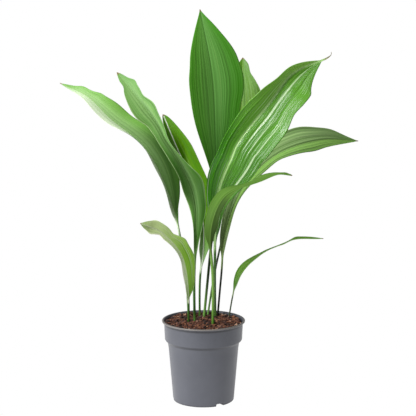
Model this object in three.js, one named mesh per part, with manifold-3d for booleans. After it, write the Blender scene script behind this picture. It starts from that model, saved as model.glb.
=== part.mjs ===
// Potted cast iron plant: a thin grey grow pot, the bark soil that fills it, and ten leaves.
// Millimetres, +Z up. The origin is the centre of the pot's flat underside.
// Seen from the front, +X is to the right and +Y is away from the viewer.

import * as THREE from 'three';
import { mergeVertices } from 'three/addons/utils/BufferGeometryUtils.js';
import Module from 'manifold-3d';

const wasm = await Module();
wasm.setup();

// Pot
const RIM_RADIUS = 60;
const POT_HEIGHT = 118.5;
const WALL = 1.4;
const FLOOR = 5.5;
const FOOT_RADIUS = 44;
const FOOT_ROUNDING = 2;
const BODY_TOP_RADIUS = 50.5;
const BODY_TOP_Z = 77;
const STEP_FOOT_RADIUS = 51.9;
const STEP_FOOT_Z = 86.4;
const COLLAR_RADIUS = 55.9;
const COLLAR_Z = 90.2;
const COLLAR_MIDDLE_Z = 102;
const NECK_RADIUS = 57;
const NECK_Z = 115.2;
const STEP_LIFT = 0.6;
const LIP_WIDTH = 3;
const LIP_FOOT_Z = 116.2;
const LIP_ROUNDING = 0.9;
const POT_SIDES = 48;

// Drain notches: channels in the thick floor, open at the pot's bottom corner
const NOTCH_COUNT = 3;
const NOTCH_WIDTH = 13;
const NOTCH_HEIGHT = 4;
const NOTCH_REACH = 16;
const FIRST_NOTCH_DEGREES = -57;

// Soil
const SOIL_LEVEL = 115.3;
const SOIL_GAP = 0.45;
const SOIL_EDGE_DROP = 1;
const FLOOR_GAP = 0.3;
const CHIP_RINGS = 13;
const CHIP_HEIGHT = 1.7;
const CHIP_SHIFT = 1.2;
const CHIP_SEED = 7;

// Leaves
const STALK_HOLE_GAP = 0.35;
const BLADE_THICKNESS = 0.8;
const MARGIN_THICKNESS = 0.6;
const MIDRIB_HALF_WIDTH = 2;
const MIDRIB_RIDGE = 1.5;
const MIDRIB_GROOVE = 0.15;
const TIP_HALF_WIDTH = 0.5;
const STALK_STEPS = 5;
const HOLE_TOP_Z = 120;
const HOLE_SIDES = 14;
const BLADE_START = 0.1;
const WAVE_SIDEWAYS = 0.6;
const RIDGE_FADE = 0.85;
const CURVE_TENSION = 0.5;
const CURVE_PARTS = 400;
const VIEWED_ALONG = new THREE.Vector3(0, 1, 0);

// Each leaf's midrib passes through the given points, from the foot of the stalk to the tip.
// stalk is the length of the stalk from its foot, half the widths left and right of the midrib,
// and widest where along the blade they are reached, with how sharply the blade narrows to its
// base and to its tip. tail is the share of the blade that is a thin dry tail past its tip.
// roll turns the blade about its midrib and fold lifts both halves toward the viewer, in degrees
// at even steps along the blade. ruffle gives the height of the waves in the margin, how many
// there are, and where they start on the left and on the right. Each swell widens or narrows
// one half: its side (-1 is left), where it is along the blade, by how much, and its length.
const LEAVES = [
  {
    name: 'leaf_tall', steps: 26, stalk: 200, stalkRadius: 1.9,
    half: [41, 45], widest: 0.62, narrow: [1.6, 1.1], tail: 0,
    midrib: [[-2, 28, 88], [8, 37, 190], [17, 41, 292], [17, 42, 385], [12, 40, 473], [-5, 36, 562]],
    roll: [-15, -23, -20, -5], fold: [5, 7, 14, 17], ruffle: [0, 3, 0, 0],
    swells: [
      [-1, 0.42, 0.9, 0.12], [-1, 0.72, -1.2, 0.05], [1, 0.49, -2, 0.05], [1, 0.7, -1, 0.04],
      [1, 0.92, 0.9, 0.05],
    ],
  },
  {
    name: 'leaf_behind', steps: 28, stalk: 177, stalkRadius: 1.5,
    half: [32, 36], widest: 0.53, narrow: [1.2, 0.75], tail: 0,
    midrib: [[2, 38, 88], [17, 52, 180], [36, 75, 261], [52, 102, 337], [57, 127, 411], [59, 150, 487]],
    roll: [9, 8, 9, 14], fold: [10, 10, 10, 10], ruffle: [3.5, 3, 0.55, 0.7],
    swells: [[1, 0.8, 1.4, 0.04], [1, 0.9, -1.8, 0.025], [1, 0.96, 1.2, 0.02]],
  },
  {
    name: 'leaf_broad', steps: 40, stalk: 130, stalkRadius: 2,
    half: [31, 51.5], widest: 0.68, narrow: [0.9, 0.85], tail: 0.065,
    midrib: [
      [17.5, 30, 88], [16.5, 27, 186], [19.5, 16, 292], [39.5, 6, 353], [53, 9, 380.5], [91, 16, 428],
      [127.5, 26, 472], [178, 40, 494], [183, 46, 501],
    ],
    roll: [-6, 0, -6, -11], fold: [23, 17, 39, 35], ruffle: [2.4, 3, 0.05, 0.55],
    swells: [
      [-1, 0.42, -3, 0.07], [-1, 0.58, 2, 0.05], [-1, 0.75, -6.5, 0.05], [-1, 0.84, -2, 0.04],
      [-1, 0.9, -2, 0.04], [1, 0.17, -10.7, 0.1], [1, 0.53, -1.3, 0.05], [1, 0.67, -5.4, 0.04],
      [1, 0.8, 6.4, 0.06], [1, 0.95, 2.3, 0.03],
    ],
  },
  {
    name: 'leaf_right', steps: 32, stalk: 98, stalkRadius: 1.5,
    half: [26, 23], widest: 0.65, narrow: [1.2, 1], tail: 0,
    midrib: [
      [18.5, 38, 88], [25.5, 43, 169], [33, 51, 240], [59, 63, 303], [108, 78, 349], [172, 96, 368],
      [231, 112, 365],
    ],
    roll: [25, 45, 42, 29], fold: [15, 31, 22, 14], ruffle: [2, 3, 0.88, 0.44],
    swells: [[-1, 0.73, 1, 0.05], [-1, 0.87, 1.5, 0.04], [1, 0.57, -2.3, 0.04], [1, 0.76, 1.8, 0.04]],
  },
  {
    name: 'leaf_far_left', steps: 44, stalk: 155, stalkRadius: 1.6,
    half: [31, 31], widest: 0.35, narrow: [1.8, 1], tail: 0,
    midrib: [
      [-20.5, 21, 88], [-26.5, 22, 187], [-45, 23, 283], [-81, 23, 361], [-132, 26, 406], [-167, 38, 438],
      [-207, 52, 456],
    ],
    roll: [-20, -47, -45, -24], fold: [30, 47, 37, 16], ruffle: [4.4, 3, 0.66, 0.93],
    swells: [[-1, 0.77, 1.5, 0.05], [1, 0.12, -3, 0.05], [1, 0.8, 1.5, 0.02], [1, 0.885, 2.8, 0.03]],
  },
  {
    name: 'leaf_left', steps: 48, stalk: 115, stalkRadius: 1.9,
    half: [20, 26.5], widest: 0.65, narrow: [1, 0.7], tail: 0,
    midrib: [
      [-12.3, 6, 88], [-13.4, 2, 176], [-11, -8, 285], [-30.5, -14, 344], [-53, -12, 381],
      [-67.7, -6, 406.5], [-121.6, 2, 475],
    ],
    roll: [-17, -5, 15, 7], fold: [0, 44, 60, -2], ruffle: [7, 2.5, 0.06, 0.03],
    swells: [
      [-1, 0.45, -4.9, 0.06], [-1, 0.72, -3.4, 0.035], [-1, 0.93, -2.6, 0.02], [1, 0.1, -2.2, 0.05],
      [1, 0.25, 3, 0.06], [1, 0.43, 6.4, 0.06], [1, 0.6, -3.5, 0.06], [1, 0.7, 3.5, 0.04],
      [1, 0.77, 5.8, 0.035], [1, 0.84, -5.4, 0.03], [1, 0.92, 4, 0.02],
    ],
  },
  {
    name: 'leaf_inner', steps: 26, stalk: 95, stalkRadius: 1.6,
    half: [14, 22.5], widest: 0.66, narrow: [0.8, 0.6], tail: 0,
    midrib: [[-5.4, 36, 88], [-5.4, 34, 166], [0, 32, 231], [-6, 34, 295], [-35, 42, 356], [-59, 52, 411]],
    roll: [-20, -20, -15, -10], fold: [27, 42, 40, 31], ruffle: [0, 3, 0, 0],
    swells: [[-1, 0.15, 4.5, 0.06], [1, 0.1, -1.8, 0.05], [1, 0.76, 2.6, 0.1]],
  },
  {
    name: 'leaf_front', steps: 42, stalk: 140, stalkRadius: 2,
    half: [19, 12], widest: 0.38, narrow: [1.1, 0.6], tail: 0,
    midrib: [
      [13.6, -13, 88], [13.4, -28, 184], [10, -46, 257], [28, -66, 308], [67, -86, 331], [98, -104, 345],
      [119, -120, 346],
    ],
    roll: [-5, 52, 85, 79], fold: [-12, -10, 0, 9], ruffle: [2, 3, 0, 0.4],
    swells: [
      [-1, 0.28, 1.8, 0.05], [-1, 0.88, -1.2, 0.03], [-1, 0.925, 1.3, 0.02], [1, 0.07, 1.6, 0.04],
      [1, 0.44, -1.5, 0.04],
    ],
  },
  {
    name: 'leaf_low_left', steps: 34, stalk: 62, stalkRadius: 1.7,
    half: [17, 18], widest: 0.35, narrow: [0.8, 0.7], tail: 0,
    midrib: [
      [-22, 10, 88], [-22, -14, 161], [-30, -35, 217], [-56, -52, 254], [-76, -67, 267], [-86, -86, 275],
    ],
    roll: [-47, -59, -53, -27], fold: [16, 22, 22, 11], ruffle: [2, 2, 0.11, 0.35],
    swells: [
      [-1, 0.2, -1.5, 0.1], [-1, 0.75, -3.2, 0.03], [-1, 0.85, 2.6, 0.03], [1, 0.15, 1.5, 0.06],
      [1, 0.53, 3.2, 0.04], [1, 0.63, -2.2, 0.03], [1, 0.8, 1.4, 0.04],
    ],
  },
  {
    name: 'leaf_thin', steps: 28, stalk: 60, stalkRadius: 1.1,
    half: [18, 19], widest: 0.4, narrow: [1.2, 0.9], tail: 0,
    midrib: [
      [33.5, 34, 88], [43, 29, 149], [53, 20, 188], [83, 7, 215], [114, -8, 232], [134, -26, 243],
      [168, -44, 246],
    ],
    roll: [50, 89, 100, 79], fold: [0, -4, 1, 5], ruffle: [0, 3, 0, 0],
    swells: [[-1, 0.2, -1.2, 0.08], [1, 0.28, 3, 0.08]],
  },
];

// Repeatable random numbers from 0 to 1
function randomNumbers(seed) {
  let state = seed;
  return () => {
    state = (state * 16807) % 2147483647;
    return state / 2147483647;
  };
}

// A smooth value at u from 0 to 1, through values that stand at even steps
function valueAlong(values, u) {
  const points = values.map((value, index) => new THREE.Vector3(index, value, 0));
  const curve = new THREE.CatmullRomCurve3(points, false, 'catmullrom', CURVE_TENSION);
  return curve.getPoint(u).y;
}

// A closed solid from a geometry, with shared corners merged and empty triangles dropped
function solidFrom(geometry) {
  const bare = geometry.clone();
  bare.deleteAttribute('normal');
  bare.deleteAttribute('uv');
  const merged = mergeVertices(bare, 1e-4);
  const index = merged.index.array;
  const corners = [];
  for (let i = 0; i < index.length; i += 3) {
    const [a, b, c] = [index[i], index[i + 1], index[i + 2]];
    if (a !== b && b !== c && c !== a) {
      corners.push(a, b, c);
    }
  }
  const mesh = new wasm.Mesh({
    numProp: 3,
    vertProperties: new Float32Array(merged.attributes.position.array),
    triVerts: new Uint32Array(corners),
  });
  return new wasm.Manifold(mesh);
}

// A geometry from a closed solid
function geometryFrom(solid) {
  const mesh = solid.getMesh();
  const geometry = new THREE.BufferGeometry();
  geometry.setAttribute('position', new THREE.BufferAttribute(new Float32Array(mesh.vertProperties), 3));
  geometry.setIndex(new THREE.BufferAttribute(new Uint32Array(mesh.triVerts), 1));
  geometry.computeVertexNormals();
  return geometry;
}

// A geometry from corner points and triangles that index them
function geometryOf(points, triangles) {
  const geometry = new THREE.BufferGeometry();
  geometry.setFromPoints(points);
  geometry.setIndex(triangles);
  geometry.computeVertexNormals();
  return geometry;
}

// Radius of the pot's outer wall at a height
function potRadius(z) {
  const heights = [0, BODY_TOP_Z, STEP_FOOT_Z, COLLAR_Z, NECK_Z];
  const radii = [FOOT_RADIUS, BODY_TOP_RADIUS, STEP_FOOT_RADIUS, COLLAR_RADIUS, NECK_RADIUS];
  let level = 0;
  while (level < heights.length - 2 && z > heights[level + 1]) {
    level += 1;
  }
  const share = (z - heights[level]) / (heights[level + 1] - heights[level]);
  return THREE.MathUtils.lerp(radii[level], radii[level + 1], Math.min(share, 1));
}

// Pot: a turned wall with a stepped collar and a rolled lip, less its drain notches
function makePot() {
  const outside = [
    [FOOT_RADIUS - FOOT_ROUNDING, 0],
    [FOOT_RADIUS - FOOT_ROUNDING / 3, FOOT_ROUNDING / 3],
    [potRadius(FOOT_ROUNDING), FOOT_ROUNDING],
    [potRadius(BODY_TOP_Z), BODY_TOP_Z],
    [STEP_FOOT_RADIUS, STEP_FOOT_Z],
    [COLLAR_RADIUS, COLLAR_Z],
    [potRadius(COLLAR_MIDDLE_Z), COLLAR_MIDDLE_Z],
    [NECK_RADIUS, NECK_Z],
    [RIM_RADIUS - LIP_ROUNDING, LIP_FOOT_Z],
    [RIM_RADIUS, LIP_FOOT_Z + LIP_ROUNDING],
    [RIM_RADIUS, POT_HEIGHT - LIP_ROUNDING],
    [RIM_RADIUS - LIP_ROUNDING, POT_HEIGHT],
    [RIM_RADIUS - LIP_WIDTH + LIP_ROUNDING, POT_HEIGHT],
    [RIM_RADIUS - LIP_WIDTH, POT_HEIGHT - LIP_ROUNDING],
  ];
  const inside = [
    [NECK_RADIUS - WALL, NECK_Z],
    [potRadius(COLLAR_MIDDLE_Z) - WALL, COLLAR_MIDDLE_Z],
    [COLLAR_RADIUS - WALL, COLLAR_Z + STEP_LIFT],
    [STEP_FOOT_RADIUS - WALL, STEP_FOOT_Z + STEP_LIFT],
    [BODY_TOP_RADIUS - WALL, BODY_TOP_Z + STEP_LIFT],
    [potRadius(FLOOR) - WALL, FLOOR],
  ];
  const profile = [[0, 0], ...outside, ...inside, [0, FLOOR]];
  const turned = new THREE.LatheGeometry(profile.map(([r, z]) => new THREE.Vector2(r, z)), POT_SIDES);
  turned.rotateX(Math.PI / 2);
  let pot = solidFrom(turned);
  for (let i = 0; i < NOTCH_COUNT; i += 1) {
    const notch = new THREE.BoxGeometry(2 * NOTCH_REACH, NOTCH_WIDTH, 2 * NOTCH_HEIGHT);
    notch.translate(FOOT_RADIUS, 0, 0);
    notch.rotateZ(THREE.MathUtils.degToRad(FIRST_NOTCH_DEGREES + (360 * i) / NOTCH_COUNT));
    pot = pot.subtract(solidFrom(notch));
  }
  return geometryFrom(pot);
}

// Soil: fills the pot, with a rough top whose facets stand for the bark chips
function makeSoil(stalkHoles) {
  const random = randomNumbers(CHIP_SEED);
  const topRadius = potRadius(SOIL_LEVEL) - WALL - SOIL_GAP;
  const points = [new THREE.Vector3(0, 0, SOIL_LEVEL)];
  const ringStart = [0];
  for (let ring = 1; ring <= CHIP_RINGS; ring += 1) {
    ringStart.push(points.length);
    const inWall = ring === CHIP_RINGS;
    const shift = inWall ? 0 : CHIP_SHIFT;
    for (let i = 0; i < 6 * ring; i += 1) {
      const angle = (2 * Math.PI * i) / (6 * ring);
      const radius = (topRadius * ring) / CHIP_RINGS;
      const x = radius * Math.cos(angle) + shift * (2 * random() - 1);
      const y = radius * Math.sin(angle) + shift * (2 * random() - 1);
      const z = SOIL_LEVEL + (inWall ? -SOIL_EDGE_DROP : CHIP_HEIGHT * (2 * random() - 1));
      points.push(new THREE.Vector3(x, y, z));
    }
  }
  const triangles = [];
  for (let ring = 1; ring <= CHIP_RINGS; ring += 1) {
    const innerCount = Math.max(6 * (ring - 1), 1);
    const outerCount = 6 * ring;
    for (let sixth = 0; sixth < 6; sixth += 1) {
      for (let i = 0; i < ring; i += 1) {
        const inner = ringStart[ring - 1] + ((sixth * (ring - 1) + i) % innerCount);
        const outer = ringStart[ring] + sixth * ring + i;
        const outerNext = ringStart[ring] + ((sixth * ring + i + 1) % outerCount);
        triangles.push(inner, outer, outerNext);
        if (i < ring - 1) {
          const innerNext = ringStart[ring - 1] + ((sixth * (ring - 1) + i + 1) % innerCount);
          triangles.push(inner, outerNext, innerNext);
        }
      }
    }
  }
  // Side wall and underside, down the inside of the pot
  const sides = 6 * CHIP_RINGS;
  const levels = [COLLAR_Z + STEP_LIFT, STEP_FOOT_Z + STEP_LIFT, BODY_TOP_Z + STEP_LIFT, FLOOR + FLOOR_GAP];
  const wallHeights = [COLLAR_Z, STEP_FOOT_Z, BODY_TOP_Z, FLOOR];
  let above = ringStart[CHIP_RINGS];
  levels.forEach((z, level) => {
    const radius = potRadius(wallHeights[level]) - WALL - SOIL_GAP;
    const below = points.length;
    for (let i = 0; i < sides; i += 1) {
      const angle = (2 * Math.PI * i) / sides;
      points.push(new THREE.Vector3(radius * Math.cos(angle), radius * Math.sin(angle), z));
    }
    for (let i = 0; i < sides; i += 1) {
      const next = (i + 1) % sides;
      triangles.push(above + i, below + i, below + next);
      triangles.push(above + i, below + next, above + next);
    }
    above = below;
  });
  const underside = points.length;
  points.push(new THREE.Vector3(0, 0, FLOOR + FLOOR_GAP));
  for (let i = 0; i < sides; i += 1) {
    triangles.push(above + i, underside, above + ((i + 1) % sides));
  }
  let soil = solidFrom(geometryOf(points, triangles));
  stalkHoles.forEach((hole) => {
    soil = soil.subtract(solidFrom(hole));
  });
  return geometryFrom(soil);
}

// Half width of a blade on one side, at t from its base to its tip
function bladeWidth(leaf, side, t) {
  const [toBase, toTip] = leaf.narrow;
  const place = Math.min(t / (1 - leaf.tail), 1);
  const beyond = Math.max((place - leaf.widest) / (1 - leaf.widest), 0);
  const share = place < leaf.widest
    ? Math.sin((Math.PI / 2) * (place / leaf.widest)) ** toBase
    : Math.max(Math.cos((Math.PI / 2) * beyond), 0) ** toTip;
  let width = leaf.half[side < 0 ? 0 : 1] * share;
  leaf.swells.forEach(([swellSide, where, amount, length]) => {
    if (swellSide === side) {
      width += amount * Math.exp(-(((t - where) / length) ** 2));
    }
  });
  return Math.max(width, t <= 0.5 ? leaf.stalkRadius : TIP_HALF_WIDTH);
}

// The midrib of a leaf, with the directions across and out of the blade at a length along it
function midribAt(leaf, curve, length, along) {
  const u = along / length;
  const t = THREE.MathUtils.clamp((along - leaf.stalk) / (length - leaf.stalk), 0, 1);
  const centre = curve.getPointAt(u);
  const tangent = curve.getTangentAt(u);
  const flatAcross = new THREE.Vector3().crossVectors(VIEWED_ALONG, tangent).normalize();
  const roll = THREE.MathUtils.degToRad(valueAlong(leaf.roll, t));
  const across = flatAcross.clone().applyAxisAngle(tangent, -roll);
  const out = new THREE.Vector3().crossVectors(across, tangent).normalize();
  return { t, centre, tangent, across, out };
}

// One closed ring of points round a leaf: its upper face from left to right, then its lower face back
function leafRing(leaf, frame) {
  const { t, centre, across, out } = frame;
  const fold = THREE.MathUtils.degToRad(valueAlong(leaf.fold, t));
  const [waveHeight, waveCount, startLeft, startRight] = leaf.ruffle;
  const steady = Math.sin(Math.PI * t) ** 0.7;
  const bladeness = THREE.MathUtils.smoothstep(t, 0, BLADE_START);
  const upper = [];
  const lower = [];
  const columns = [-1, -0.5, 'rib left', 0, 'rib right', 0.5, 1];
  columns.forEach((column, index) => {
    const side = index < 3 ? -1 : 1;
    const width = bladeWidth(leaf, side, t);
    const ribWidth = Math.min(MIDRIB_HALF_WIDTH, 0.3 * width);
    const share = typeof column === 'string' ? ribWidth / width : Math.abs(column);
    const wave = 2 * Math.PI * (waveCount * t + (side < 0 ? startLeft : startRight));
    const reach = share * width + WAVE_SIDEWAYS * waveHeight * Math.cos(wave) * share ** 2 * steady;
    const lift = waveHeight * Math.sin(wave) * share ** 2 * steady;
    const middle = centre.clone()
      .addScaledVector(across, side * reach * Math.cos(fold))
      .addScaledVector(out, reach * Math.sin(fold) + lift);
    const tilt = column === 0 ? 0 : fold;
    const normal = out.clone().multiplyScalar(Math.cos(tilt)).addScaledVector(across, -side * Math.sin(tilt));
    const thickness = share === 1 ? MARGIN_THICKNESS : BLADE_THICKNESS;
    const groove = column === 0 ? MIDRIB_GROOVE : 0;
    const ridge = column === 0 ? MIDRIB_RIDGE * (1 - RIDGE_FADE * t) : 0;
    const bladeTop = middle.clone().addScaledVector(normal, thickness / 2 - groove);
    const bladeBottom = middle.clone().addScaledVector(normal, -thickness / 2 - ridge);
    const angle = Math.PI * (1 - (index + 0.5) / columns.length);
    const stalkTop = centre.clone()
      .addScaledVector(across, leaf.stalkRadius * Math.cos(angle))
      .addScaledVector(out, leaf.stalkRadius * Math.sin(angle));
    const stalkBottom = centre.clone()
      .addScaledVector(across, leaf.stalkRadius * Math.cos(angle))
      .addScaledVector(out, -leaf.stalkRadius * Math.sin(angle));
    upper.push(stalkTop.lerp(bladeTop, bladeness));
    lower.push(stalkBottom.lerp(bladeBottom, bladeness));
  });
  return { upper, lower };
}

// The midrib curve of a leaf
function midribCurve(leaf) {
  const curve = new THREE.CatmullRomCurve3(
    leaf.midrib.map(([x, y, z]) => new THREE.Vector3(x, y, z)), false, 'catmullrom', CURVE_TENSION,
  );
  curve.arcLengthDivisions = CURVE_PARTS;
  return curve;
}

// Joins rings of equal size into one closed geometry. Both faces are split along the same diagonals.
function skin(rings) {
  const points = [];
  const triangles = [];
  const columns = rings[0].upper.length;
  const size = 2 * columns;
  rings.forEach((ring) => points.push(...ring.upper, ...ring.lower));
  const face = (a, b, c, flip) => (flip ? triangles.push(a, c, b) : triangles.push(a, b, c));
  for (let i = 0; i < rings.length - 1; i += 1) {
    const here = i * size;
    const next = here + size;
    for (const [offset, flip] of [[0, false], [columns, true]]) {
      for (let k = 0; k < columns - 1; k += 1) {
        const a = here + offset + k;
        const b = next + offset + k;
        face(a, a + 1, b + 1, flip);
        face(a, b + 1, b, flip);
      }
    }
    for (const [k, flip] of [[0, true], [columns - 1, false]]) {
      face(here + k, here + columns + k, next + columns + k, flip);
      face(here + k, next + columns + k, next + k, flip);
    }
  }
  const last = (rings.length - 1) * size;
  for (let k = 0; k < columns - 1; k += 1) {
    face(k, k + columns, k + 1, false);
    face(k + 1, k + columns, k + columns + 1, false);
    face(last + k, last + k + 1, last + k + columns, false);
    face(last + k + 1, last + k + columns + 1, last + k + columns, false);
  }
  return geometryOf(points, triangles);
}

// Leaf: a round stalk that widens into a thin folded and ruffled blade
function makeLeaf(leaf) {
  const curve = midribCurve(leaf);
  const length = curve.getLength();
  const rings = [];
  for (let i = 0; i <= STALK_STEPS; i += 1) {
    rings.push(leafRing(leaf, midribAt(leaf, curve, length, (leaf.stalk * i) / STALK_STEPS)));
  }
  for (let i = 1; i <= leaf.steps; i += 1) {
    const along = leaf.stalk + ((length - leaf.stalk) * i) / leaf.steps;
    rings.push(leafRing(leaf, midribAt(leaf, curve, length, along)));
  }
  return skin(rings);
}

// The hole that a leaf's stalk stands in: the stalk's own course, a little wider
function makeStalkHole(leaf) {
  const curve = midribCurve(leaf);
  const length = curve.getLength();
  const radius = leaf.stalkRadius + STALK_HOLE_GAP;
  const rings = [];
  const depth = HOLE_TOP_Z - leaf.midrib[0][2];
  for (const along of [-STALK_HOLE_GAP, depth / 2, depth]) {
    const frame = midribAt(leaf, curve, length, Math.max(along, 0));
    const centre = frame.centre.clone().addScaledVector(frame.tangent, Math.min(along, 0));
    const upper = [];
    const lower = [];
    for (let i = 0; i < HOLE_SIDES / 2; i += 1) {
      const angle = Math.PI * (1 - (i + 0.5) / (HOLE_SIDES / 2));
      const acrossPart = frame.across.clone().multiplyScalar(radius * Math.cos(angle));
      upper.push(centre.clone().add(acrossPart).addScaledVector(frame.out, radius * Math.sin(angle)));
      lower.push(centre.clone().add(acrossPart).addScaledVector(frame.out, -radius * Math.sin(angle)));
    }
    rings.push({ upper, lower });
  }
  return skin(rings);
}

// Materials
const potPlastic = { color: 0x6d7078, roughness: 0.55, metalness: 0 };
const barkSoil = { color: 0x5a3a2c, roughness: 0.95, metalness: 0 };
const leafGreen = { color: 0x4c8c34, roughness: 0.38, metalness: 0 };

// A named mesh with a material of its own
function namedMesh(name, geometry, look) {
  const mesh = new THREE.Mesh(geometry, new THREE.MeshStandardMaterial(look));
  mesh.name = name;
  return mesh;
}

const plant = new THREE.Group();
plant.add(namedMesh('pot', makePot(), potPlastic));
plant.add(namedMesh('soil', makeSoil(LEAVES.map(makeStalkHole)), barkSoil));
LEAVES.forEach((leaf) => plant.add(namedMesh(leaf.name, makeLeaf(leaf), leafGreen)));

export default plant;
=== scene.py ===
import math
import random

import bmesh
import bpy
import numpy as np
from mathutils import Matrix, Vector
from mathutils.bvhtree import BVHTree


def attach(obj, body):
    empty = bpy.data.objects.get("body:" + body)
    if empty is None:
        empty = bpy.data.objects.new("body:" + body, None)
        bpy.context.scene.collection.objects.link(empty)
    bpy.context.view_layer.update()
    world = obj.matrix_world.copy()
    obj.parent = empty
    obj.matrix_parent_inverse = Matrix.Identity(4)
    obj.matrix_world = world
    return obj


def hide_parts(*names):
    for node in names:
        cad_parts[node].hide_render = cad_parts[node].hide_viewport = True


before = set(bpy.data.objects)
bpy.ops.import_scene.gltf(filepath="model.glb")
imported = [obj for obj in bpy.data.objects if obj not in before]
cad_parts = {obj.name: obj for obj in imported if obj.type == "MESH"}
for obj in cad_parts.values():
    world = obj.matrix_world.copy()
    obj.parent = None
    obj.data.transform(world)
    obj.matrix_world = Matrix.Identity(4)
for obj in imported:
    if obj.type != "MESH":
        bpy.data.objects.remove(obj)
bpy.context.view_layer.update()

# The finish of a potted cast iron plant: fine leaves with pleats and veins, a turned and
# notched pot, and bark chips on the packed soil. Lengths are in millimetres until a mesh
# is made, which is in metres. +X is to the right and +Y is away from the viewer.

MM = 0.001

# Camera, its place in metres
CAMERA_PLACE = (0.0065, -2.0, 0.615)
CAMERA_DOWN_DEGREES = 9.45
SENSOR_WIDTH = 36
FRAME_PIXELS = 416
FOCAL_LENGTH_PIXELS = 1421
LENS = SENSOR_WIDTH * FOCAL_LENGTH_PIXELS / FRAME_PIXELS

# Pot: the pairs are corners (radius, height) of its outside, and one of its floor inside. The
# steps on the inside are higher by STEP_LIFT.
RIM_RADIUS = 60
POT_HEIGHT = 118.5
WALL = 1.4
FLOOR = 5.5
FOOT_RADIUS = 44
FOOT_CORNER = (44.05, 0)
FLOOR_CORNER = (42.75, FLOOR)
BODY_TOP = (50.5, 77)
STEP_FOOT = (51.9, 86.4)
COLLAR = (55.9, 90.2)
NECK = (57, 115.2)
STEP_LIFT = 0.6
LIP_WIDTH = 3
LIP_FOOT = 116.2
POT_SIDES = 192
CORNER_STEPS = 5
SHARP_EDGE_DEGREES = 40

# Drain notches, each cut by a bar of this depth, width and height whose lower half is under
# the pot
NOTCH_COUNT = 3
NOTCH_SIZE = (32, 13, 8)
NOTCH_ROUNDING = 1.6
NOTCH_ROUNDING_STEPS = 4
FIRST_NOTCH_DEGREES = -57

# Bands painted darker: painted shade in the crease under the lip and in the step, and a darker
# band round the foot. The lower and upper edge of each, how dark it is, and how softly the
# edges fade
POT_SHADE_BANDS = ((112.6, 116.0, 0.6), (86.0, 90.4, 0.5), (-2, 2.5, 0.4))
CREASE_LOWER_FADE = 0.6
CREASE_UPPER_FADE = 0.5

# The painted highlight on the top of the lip lies between these heights and distances in from the rim
LIP_HIGHLIGHT_HEIGHTS = (116.2, 117.4)
LIP_HIGHLIGHT_INSETS = (2.6, 1.8)

# Bark chips: where they lie. They bank up towards the wall, beyond a share of the radius of
# their field, and lie at the edge level where there is no soil below them. They tilt by about
# so many degrees to the side and end to end, and their middles are raised by a share of their
# thickness. They keep clear of the stalks, whose places are taken at CHIP_LEVEL.
CHIP_SEED = 11
CHIP_COUNT = 1350
CHIP_TRIES = 20000
CHIP_FIELD_RADIUS = 56.0
CHIP_OVERHANG = 0.4
CHIP_EDGE_LEVEL = 115.6
CHIP_BANK = 0.8
CHIP_BANK_FROM = 0.8
CHIP_TILTS_DEGREES = (16, 14)
CHIP_LIFTS = (0.1, 0.55)
CHIP_LEVEL = 116
ABOVE_SOIL = 140
WIDEST_STALK = 2.3

# Bark chips: their form, with width and thickness as shares of the length, and their
# browns, each with how often it comes
CHIP_LENGTHS = (3.4, 9.5)
CHIP_WIDTHS = (0.45, 0.8)
CHIP_THICKNESSES = (0.22, 0.42)
CHIP_CORNERS = 14
CHIP_TAPER = 0.45
CHIP_COLOURS = {
    "2c1812": 20, "50302a": 24, "70442f": 24, "8c583e": 16, "a87454": 8, "c09a80": 4, "dcc4b0": 1,
}

# Leaves: the section of a blade and its midrib, whose ridge fades by a share towards the tip.
# Then where the stalk has turned flat, how far the waves of the margin also go sideways, and
# the pleats, with the weight and pace of their waves. Last the columns of the mesh, which
# crowd towards the midrib, and its steps.
TIP_HALF_WIDTH = 0.5
BLADE_THICKNESS = 0.62
MIDRIB_RIDGE = 1.5
MIDRIB_HALF_WIDTH = 2
MIDRIB_GROOVE = 0.3
RIDGE_FADE = 0.85
EDGE_SQUARENESS = 14
BLADE_START = 0.1
WAVE_SIDEWAYS = 0.6
PLEAT_SPACING = 5.6
PLEAT_WAVES = ((0.4, 1.0), (0.35, 1.63), (0.3, 0.61), (0.4, 0.37))
COLUMNS_PER_PLEAT = 6
FEWEST_COLUMNS = 14
COLUMN_CROWDING = 1.12
MIDRIB_SAMPLES = 401
STALK_STEP = 7
BLADE_STEP = 3.4

# On the skin of a leaf: how far its left half blends into the right, and the shares of its
# usual half width at which it counts as narrow and as broad
RIB_BLEND = 0.04
NARROW = 0.15
BROAD = 0.9

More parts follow.
